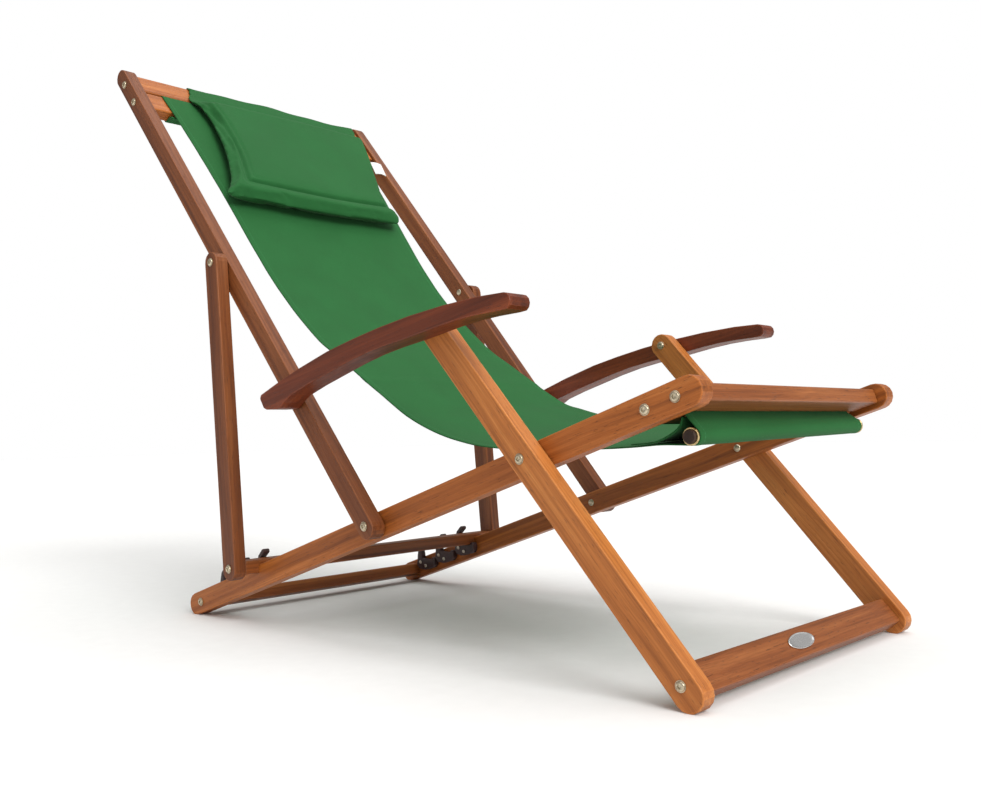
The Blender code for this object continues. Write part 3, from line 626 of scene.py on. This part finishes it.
def front_loop():
    wrap = DOWEL_R + CLOTH / 2 + 0.0004
    rise = SLING_FRONT_HALF * DOWEL_RISE / DOWEL_HALF
    path = [(*point, SLING_FRONT_HALF, rise)
            for point in arc(DOWEL, wrap, math.radians(-100), math.radians(50), 14)]
    slot = (FRONT_BAR_AT + SECOND_BAR_AT) / 2
    rear = SECOND_BAR_AT - BAR_WIDTH / 2
    turn = BAR_THICK / 2 - EDGE_ROUND
    over = [(slot, -turn - 0.0030)] + corner((slot - CORNER, turn), 0.0, math.pi / 2)
    over += corner((rear + EDGE_ROUND, turn), math.pi / 2, math.pi)
    over.append((rear - 0.0015, -turn - 0.0020))
    return path + [(*rail_point(distance, offset), SLING_FRONT_HALF, 0.0)
                   for distance, offset in over]


def evened(rows, step):
    """The same rows at nearly even spacing, so that the cloth's quads stay regular."""
    rows = np.array(rows)
    spans = np.hypot(np.diff(rows[:, 0]), np.diff(rows[:, 1]))
    length = np.concatenate([[0.0], np.cumsum(spans)])
    keep = [0.0]
    for here in length[1:]:
        gap = here - keep[-1]
        if gap > step:
            pieces = math.ceil(gap / step)
            keep += [keep[-1] + gap * (k + 1) / pieces for k in range(pieces)]
        elif gap > step * 0.25 or here == length[-1]:
            keep.append(here)
    keep = np.array(keep)
    return np.column_stack([np.interp(keep, length, rows[:, k]) for k in range(4)]), keep


def creases(across, length, total):
    """Small folds of the cloth: tension lines from its corners, and puckers at its hems."""
    u = np.abs(across)
    share = length / total
    edge = np.clip((u - 0.86) / 0.14, 0.0, 1.0)
    puckers = 0.00012 * edge * np.sin(length * 96.0 + 1.7 * np.sin(length * 23.0))
    body = np.sin(np.pi * np.clip((share - 0.10) / 0.78, 0.0, 1.0))
    slack = 0.0006 * body * np.sin(across * 5.2 + length * 3.1) * np.cos(length * 9.5)
    slack += 0.0003 * body * np.sin(across * 11.0 - length * 14.0 + 0.8)
    bend = np.exp(-((share - 0.52) / 0.07) ** 2)
    bend_lines = 0.00022 * bend * np.sin(length * 62.0 + 2.2 * across) * (0.35 + 0.65 * u)
    return puckers + slack + bend_lines


def sheet_mesh(name, rows, columns, thickness, centre=0.0, folds=None, seam_at=None):
    """Closed thin solid round a sheet given by rows, with UVs in metres for its weave."""
    rows, length = evened(rows, SHEET_STEP)
    across = np.sin(np.linspace(-1.0, 1.0, columns) * math.pi / 2 * 0.92)
    across /= across[-1]
    x, z, half, drop = (rows[:, k][:, None] for k in range(4))
    grid_x = np.repeat(x, columns, 1)
    grid_y = centre + half * across[None, :]
    grid_z = z + drop * across[None, :]
    run_x, run_z = np.gradient(rows[:, 0]), np.gradient(rows[:, 1])
    size = np.hypot(run_x, run_z)
    normal_x, normal_z = (run_z / size)[:, None], (-run_x / size)[:, None]
    where = np.repeat(length[:, None], columns, 1)
    lift = folds(across[None, :] + 0 * where, where, length[-1]) if folds else 0 * where
    from_edge = half * (1.0 - np.abs(across[None, :]))
    thick = thickness / 2 * np.where(from_edge < HEM, 1.0, 0.72)
    thick = np.where(from_edge < 0.0004, thickness * 0.34, thick)
    if seam_at is not None:
        thick = thick + SEAM_THICK * np.exp(-((where - seam_at) / SEAM_HALF) ** 4)
    work = bmesh.new()
    threads = work.loops.layers.uv.new("threads")
    edges = work.loops.layers.uv.new("edges")
    count = len(rows)
    sides = []
    for sign in (1, -1):
        push = lift + sign * thick
        px, pz = grid_x - normal_x * push, grid_z - normal_z * push
        sides.append([[work.verts.new((px[i, j], grid_y[i, j], pz[i, j]))
                       for j in range(columns)] for i in range(count)])
    places = {}
    for face in sides:
        for i in range(count):
            for j in range(columns):
                places[face[i][j]] = (grid_y[i, j], length[i], from_edge[i, j])
    quads = []
    for i in range(count - 1):
        for j in range(columns - 1):
            a, b = sides
            quads.append((a[i][j], a[i + 1][j], a[i + 1][j + 1], a[i][j + 1]))
            quads.append((b[i][j], b[i][j + 1], b[i + 1][j + 1], b[i + 1][j]))
        for j in (0, columns - 1):
            quads.append((sides[0][i][j], sides[1][i][j], sides[1][i + 1][j],
                          sides[0][i + 1][j]))
    for j in range(columns - 1):
        for i in (0, count - 1):
            quads.append((sides[0][i][j], sides[0][i][j + 1], sides[1][i][j + 1],
                          sides[1][i][j]))
    for quad in quads:
        face = work.faces.new(quad)
        for loop in face.loops:
            y, along_it, edge = places[loop.vert]
            loop[threads].uv = (y, along_it)
            loop[edges].uv = (edge, along_it)
    area = float(np.sum(2 * rows[:-1, 2] * np.diff(length)))
    return mesh_from(work, name), float(length[-1]), area


def sling():
    rows = top_loop() + main_rows() + front_loop()
    mesh, length, area = sheet_mesh("sling", rows, 45, SHEET, folds=creases, seam_at=SEAM_AT)
    made = new_object("sling", mesh, cloth("sling_canvas", hem=True))
    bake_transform(made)
    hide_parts("sling_back", "sling_middle", "sling_seat")
    dowel_sleeve(made.data.materials[0])


def dowel_sleeve(canvas):
    """The cloth's end, which closes round the dowel and lies back on the seat."""
    rows = [(x, z, SLING_FRONT_HALF, drop) for x, z, drop in smooth_line(SLEEVE_LINE, 4)]
    mesh, length, _ = sheet_mesh("dowel_sleeve", rows, 33, SHEET)
    sleeve = new_object("dowel_sleeve", mesh, canvas)
    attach(sleeve, "seat_frame")
    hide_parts("sling_sleeve")


# ---------------------------------------------------------------- headrest
# The pad's two side edges, from its bottom to the top of its flat upper border, and the sewn
# channel in its face: distance up the back, and y.
PAD_NEAR = ((0.640, -0.2140), (0.690, -0.1925), (0.745, -0.1765), (0.800, -0.1660),
            (0.850, -0.1600), (0.885, -0.1615), (0.910, -0.1650), (0.930, -0.1600),
            (0.968, -0.1440))
PAD_FAR = ((0.640, 0.1680), (0.660, 0.1815), (0.678, 0.1820), (0.690, 0.1700), (0.700, 0.1715),
           (0.813, 0.2060), (0.895, 0.2260), (0.968, 0.2380))
CHANNEL = ((0.9250, -0.1490), (0.8900, -0.1440), (0.8450, -0.1390), (0.7900, -0.1400),
           (0.7400, -0.1450), (0.6860, -0.1560), (0.6805, -0.1520), (0.6780, -0.1000),
           (0.6760, -0.0467), (0.6755, 0.0344), (0.6800, 0.1200), (0.6850, 0.1760))
PAD_BOTTOM, PAD_TOP = PAD_NEAR[0][0], PAD_NEAR[-1][0]
FLAT_FROM, FLAT_FULL = 0.895, 0.932   # the pad thins out between these to its flat border
PAD_MIDDLE = 0.0262                   # offset of the filled part's middle in front of the back
FLAT_MIDDLE = 0.0138
PAD_VOXEL, QUICK_VOXEL = 0.0046, 0.0090
PAD_PRESSURE = 4.0
PAD_CAP = 0.0085                      # how far the filling may move the shell
GROOVE_DEPTH, GROOVE_HALF = 0.0062, 0.0038
TOP_CLEAR, PAD_CLEAR = 0.0112, 0.0140 # least offset, so that the pad stays off the bar and cloth


def eased(low, high, value):
    t = np.clip((np.asarray(value, float) - low) / (high - low), 0.0, 1.0)
    return t * t * (3.0 - 2.0 * t)


def table_line(table, per_span=6):
    return np.array(smooth_line(table, per_span))


NEAR_LINE, FAR_LINE, CHANNEL_LINE = (table_line(t) for t in (PAD_NEAR, PAD_FAR, CHANNEL))


def pad_place(up, over):
    """Distance along the back and y of a point in the pad."""
    distance = PAD_BOTTOM + (PAD_TOP - PAD_BOTTOM) * up
    near = np.interp(distance, NEAR_LINE[:, 0], NEAR_LINE[:, 1])
    far = np.interp(distance, FAR_LINE[:, 0], FAR_LINE[:, 1])
    sag = 0.0060 * math.sin(math.pi * over) * (1.0 - up) ** 3
    return distance - sag, near + (far - near) * over


def pad_front(distance, over):
    """Offset of the middle of the pad before it is filled."""
    flat = float(eased(FLAT_FROM, FLAT_FULL, distance))
    lift = 0.0060 * math.exp(-(over / 0.07) ** 2) * (1.0 - flat)
    lift *= 0.35 + 0.65 * math.exp(-((distance - 0.77) / 0.09) ** 2)
    return PAD_MIDDLE + (FLAT_MIDDLE - PAD_MIDDLE) * flat + lift


def close_shell(work, front, rear):
    """Faces over two grids of vertices, and round their four edges."""
    ups, overs = len(front) - 1, len(front[0]) - 1
    for i in range(ups):
        for j in range(overs):
            work.faces.new((front[i][j], front[i][j + 1], front[i + 1][j + 1], front[i + 1][j]))
            work.faces.new((rear[i][j], rear[i + 1][j], rear[i + 1][j + 1], rear[i][j + 1]))
    for i in range(ups):
        for j in (0, overs):
            work.faces.new((front[i][j], rear[i][j], rear[i + 1][j], front[i + 1][j]))
    for j in range(overs):
        for i in (0, ups):
            work.faces.new((front[i][j], front[i][j + 1], rear[i][j + 1], rear[i][j]))


def pad_slab():
    """Closed shell in the pad's outline, a little thinner than the finished pad."""
    ups, overs = 64, 72
    work = bmesh.new()
    grids = []
    for sign in (1, -1):
        grid = []
        for i in range(ups + 1):
            row = []
            for j in range(overs + 1):
                up, over = i / ups, j / overs
                distance, y = pad_place(up, over)
                rim = min(up * 0.33, over * 0.39, (1 - over) * 0.39)
                full = 0.0052 * math.sqrt(min(1.0, rim / 0.018)) + 0.0020
                flat = float(eased(FLAT_FROM, FLAT_FULL, distance))
                thick = full + (0.0022 - full) * flat
                row.append(work.verts.new(back_vector(
                    distance, pad_front(distance, over) + sign * thick, y)))
            grid.append(row)
        grids.append(grid)
    close_shell(work, *grids)
    return mesh_from(work, "headrest_pad")


def read_points(mesh):
    flat = np.zeros(len(mesh.vertices) * 3)
    mesh.vertices.foreach_get("co", flat)
    return flat.reshape(-1, 3)


def write_points(mesh, points):
    mesh.vertices.foreach_set("co", points.ravel())
    mesh.update()


def applied(made):
    """Replace an object's mesh with what its modifiers make of it."""
    graph = bpy.context.evaluated_depsgraph_get()
    graph.update()
    mesh = bpy.data.meshes.new_from_object(made.evaluated_get(graph))
    made.modifiers.clear()
    made.data = mesh
    return mesh


def remeshed(made, voxel):
    change = made.modifiers.new("remesh", "REMESH")
    change.mode = "VOXEL"
    change.voxel_size = voxel
    return applied(made)


def fill_pad(made, pressure, cap):
    """Blow the pad up with a cloth simulation, and cap how far its points move."""
    before = read_points(made.data)
    change = made.modifiers.new("fill", "CLOTH")
    settings = change.settings
    settings.quality = 6
    settings.mass = 0.25
    settings.tension_stiffness = 25.0
    settings.compression_stiffness = 12.0
    settings.shear_stiffness = 8.0
    settings.bending_stiffness = 0.6
    settings.use_pressure = True
    settings.uniform_pressure_force = pressure
    settings.effector_weights.gravity = 0.0
    change.collision_settings.use_collision = False
    scene = bpy.context.scene
    for step in range(1, 21):
        scene.frame_set(step)
    after = read_points(applied(made))
    scene.frame_set(1)
    move = after - before
    size = np.linalg.norm(move, axis=1)
    move *= (np.minimum(size, cap) / np.maximum(size, 1e-9))[:, None]
    filled = 1.0 - eased(FLAT_FROM, FLAT_FULL, back_frame_points(before)[:, 0])
    write_points(made.data, before + move * filled[:, None])


def back_frame_points(points):
    """Distance along the back, y, and offset in front of it, for points of the row frame."""
    dx, dz = points[:, 0] - BACK_PIVOT[0], points[:, 2] - BACK_PIVOT[1]
    c, s = math.cos(BACK_ANGLE), math.sin(BACK_ANGLE)
    return np.column_stack([dx * c + dz * s, points[:, 1], dx * s - dz * c])


def row_frame_points(places):
    c, s = math.cos(BACK_ANGLE), math.sin(BACK_ANGLE)
    x = BACK_PIVOT[0] + places[:, 0] * c + places[:, 2] * s
    z = BACK_PIVOT[1] + places[:, 0] * s - places[:, 2] * c
    return np.column_stack([x, places[:, 1], z])


def line_distance(points, line):
    """Distance of each point from a polyline, and how far along the line it is."""
    best = np.full(len(points), 1e9)
    where = np.zeros(len(points))
    walked = 0.0
    for a, b in zip(line, line[1:]):
        run = b - a
        size = float(np.hypot(*run))
        t = np.clip(((points - a) @ run) / max(size * size, 1e-12), 0.0, 1.0)
        gap = np.linalg.norm(points - (a + t[:, None] * run), axis=1)
        closer = gap < best
        best[closer] = gap[closer]
        where[closer] = walked + t[closer] * size
        walked += size
    return best, where


def sew_pad(mesh):
    """Press the sewn channel and some soft folds into the filled pad's face."""
    places = back_frame_points(read_points(mesh))
    gap, where = line_distance(places[:, :2], CHANNEL_LINE)
    flat = eased(FLAT_FROM, FLAT_FULL, places[:, 0])
    middle = PAD_MIDDLE + (FLAT_MIDDLE - PAD_MIDDLE) * flat
    front = np.clip((places[:, 2] - middle) / 0.0040, 0.0, 1.0) * (1.0 - flat)
    depth = GROOVE_DEPTH * np.exp(-(gap / GROOVE_HALF) ** 2) + 0.0020 * np.exp(-(gap / 0.0110) ** 2)
    second = 0.0022 * np.exp(-((gap - 0.0105) / 0.0030) ** 2) * eased(0.30, 0.20, where)
    folds = 0.0010 * np.sin(places[:, 1] * 17.0 + places[:, 0] * 21.0)
    folds += 0.0006 * np.sin(places[:, 0] * 90.0 + 6.0 * np.sin(places[:, 1] * 14.0)) * np.exp(
        -((places[:, 1] + 0.165) / 0.020) ** 2)
    places[:, 2] += front * (folds * np.clip(gap / 0.03, 0.0, 1.0) - depth - second)
    wave = 0.0012 * np.sin(places[:, 1] * 26.0 + 1.0) + 0.0008 * np.sin(places[:, 1] * 61.0)
    places[:, 2] += flat * wave
    clear = np.where(places[:, 0] > CHANNEL[0][0], TOP_CLEAR, PAD_CLEAR)
    places[:, 2] = np.maximum(places[:, 2], clear)
    write_points(mesh, row_frame_points(places))


def headrest():
    canvas = cloth("headrest_canvas", plane=BACK_ANGLE)
    pad = new_object("headrest_pad", pad_slab(), canvas)
    remeshed(pad, PAD_VOXEL)
    fill_pad(pad, PAD_PRESSURE, PAD_CAP)
    smooth = pad.modifiers.new("smooth", "SUBSURF")
    smooth.levels = 1
    smooth.render_levels = 1
    applied(pad)
    sew_pad(pad.data)
    pad.data.shade_smooth()
    pad.data.materials.clear()
    pad.data.materials.append(canvas)
    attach(pad, "back_frame")
    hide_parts("headrest_pillow")


# Name, and the least and greatest y of each flap over the top bar.
STRAPS = (("right", -0.1440, -0.0150), ("left", 0.0900, 0.2360))


def strap_path():
    """From the bar's front, over its top and down behind the sling."""
    top = UPPER_BAR_AT + TOP_BAR_WIDTH / 2 + SHEET
    clear = BAR_THICK / 2 + SHEET
    path = [(top - 0.0120, clear + 0.0012), (top - 0.0075, clear + 0.0006)]
    path += arc((top - 0.0040, clear - 0.0040), 0.0042, math.pi / 2, 0.0, 4)
    path += arc((top - 0.0040, -clear + 0.0040), 0.0042, 0.0, -math.pi / 2, 4)
    return path + [(top - 0.0200, -clear - 0.0006), (0.9400, -clear - 0.0020),
                   (0.9150, -clear - 0.0045), (0.8850, -clear - 0.0052), (0.8600, -clear - 0.0058)]


def straps():
    """The headrest's two flaps over the top bar, from which it hangs."""
    canvas = cloth("strap_canvas", hem=True)
    for side, low, high in STRAPS:
        rows = [(*back_point(distance, offset), (high - low) / 2, 0.0)
                for distance, offset in strap_path()]
        name = "headrest_strap_" + side
        mesh, length, _ = sheet_mesh(name, rows, 17, SHEET, centre=(low + high) / 2)
        made = new_object(name, mesh, canvas)
        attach(made, "back_frame")
        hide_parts("headrest_flap")


TAG_FROM, TAG_HEIGHT = 0.8060, 0.0380  # distance up the back, and along it
TAG_Y, TAG_WIDTH = 0.2020, 0.0280
TAG_SLANT = 0.0080
TAG_HALF_THICK = 0.0005


def tag_point(across, up):
    """Distance up the back, offset and y of a point of the tag, which bows a little."""
    bow = 0.0025 * math.sin(math.pi * across) * (1.0 - 0.3 * up)
    return (TAG_FROM + TAG_HEIGHT * up, 0.0240 + bow,
            TAG_Y + TAG_WIDTH * across + TAG_SLANT * up)


def tag_cloth():
    look = Look("tag_cloth", roughness=0.7, specular=0.3)
    coords = look.coords()
    weave = look.maths("MULTIPLY", look.wave(coords, 900.0, 0.4, "Y"),
                       look.wave(coords, 900.0, 0.4, "Z"))
    white = look.mix(look.range(weave, 0.0, 1.0), (0.80, 0.80, 0.78), (0.90, 0.90, 0.89))
    return look.finish(white, 0.7, weave, distance=0.00008)


def tag():
    """Small blank woven tag sewn to the far edge of the headrest."""
    across, up = 12, 10
    rows = [[tag_point(j / across, i / up) for j in range(across + 1)] for i in range(up + 1)]
    work = bmesh.new()
    front, rear = ([[work.verts.new(back_vector(distance, offset + side, y))
                     for distance, offset, y in row] for row in rows]
                   for side in (TAG_HALF_THICK, -TAG_HALF_THICK))
    close_shell(work, front, rear)
    made = new_object("headrest_tag", mesh_from(work, "headrest_tag"), tag_cloth())
    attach(made, "back_frame")
    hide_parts("headrest_pillow")


# ---------------------------------------------------------------- stage, light and camera
AMBIENT = 0.42
FLOOR_HALF = 14.0
CAMERA_PLACE = (1.1192, -1.1670, 0.2840)
CAMERA_YAW, CAMERA_PITCH, CAMERA_ROLL = (math.radians(angle) for angle in (42.55, -1.39, -1.16))


def stage():
    """White paper floor, and a world that is white to look at and dimmer as a light."""
    look = Look("floor_paper", roughness=0.75, specular=0.2)
    speck = look.noise(look.coords(), scale=40.0, detail=3.0)
    paper = look.finish(look.mix(look.range(speck, 0.3, 0.7), (0.86, 0.86, 0.85),
                                 (0.88, 0.88, 0.87)))
    work = bmesh.new()
    bmesh.ops.create_grid(work, x_segments=2, y_segments=2, size=FLOOR_HALF)
    floor = new_object("floor", mesh_from(work, "floor", Matrix.Translation((0, 0, -0.0002))),
                       paper)
    world = bpy.data.worlds.new("studio")
    world.use_nodes = True
    nodes, links = world.node_tree.nodes, world.node_tree.links
    ambient = nodes["Background"]
    ambient.inputs[0].default_value = (1.0, 0.985, 0.965, 1.0)
    ambient.inputs[1].default_value = AMBIENT
    paper_white = nodes.new("ShaderNodeBackground")
    paper_white.inputs[0].default_value = (1.0, 1.0, 1.0, 1.0)
    paper_white.inputs[1].default_value = 1.0
    seen = nodes.new("ShaderNodeLightPath")
    blend = nodes.new("ShaderNodeMixShader")
    links.new(seen.outputs["Is Camera Ray"], blend.inputs[0])
    links.new(ambient.outputs[0], blend.inputs[1])
    links.new(paper_white.outputs[0], blend.inputs[2])
    links.new(blend.outputs[0], nodes["World Output"].inputs["Surface"])
    bpy.context.scene.world = world


def soft_sun(name, place, spread, power):
    """Even light from one direction, as from a very large softbox a long way off."""
    light = bpy.data.lights.new(name, "SUN")
    light.angle = math.radians(spread)
    light.energy = power
    made = bpy.data.objects.new(name, light)
    made.rotation_euler = (-Vector(place)).to_track_quat("-Z", "Y").to_euler()
    bpy.context.scene.collection.objects.link(made)


def lights():
    soft_sun("key", (2.7, -0.6, 1.8), 34.0, 2.3)
    soft_sun("top", (0.3, 0.3, 3.0), 70.0, 1.55)
    soft_sun("near_fill", (-0.6, -3.0, 1.0), 60.0, 0.12)


def camera():
    data = bpy.data.cameras.new("camera")
    data.sensor_width = 36.0
    data.lens = 38.45
    made = bpy.data.objects.new("camera", data)
    bpy.context.scene.collection.objects.link(made)
    yaw, pitch, roll = CAMERA_YAW, CAMERA_PITCH, CAMERA_ROLL
    look = Vector((-math.sin(yaw) * math.cos(pitch), math.cos(yaw) * math.cos(pitch),
                   -math.sin(pitch)))
    right = Vector((math.cos(yaw), math.sin(yaw), 0.0))
    up = right.cross(look)
    level, tilt = math.cos(roll), math.sin(roll)
    axes = (right * level + up * tilt, -right * tilt + up * level, -look)
    made.matrix_world = Matrix.Translation(CAMERA_PLACE) @ Matrix(
        [[axis[row] for axis in axes] for row in range(3)]).to_4x4()
    bpy.context.scene.camera = made


dress_boards()
dress_fittings()
bolts()
hook_screws()
badge()
sling()
headrest()
straps()
tag()
stage()
lights()
camera()
bpy.context.scene.view_settings.view_transform = "Standard"
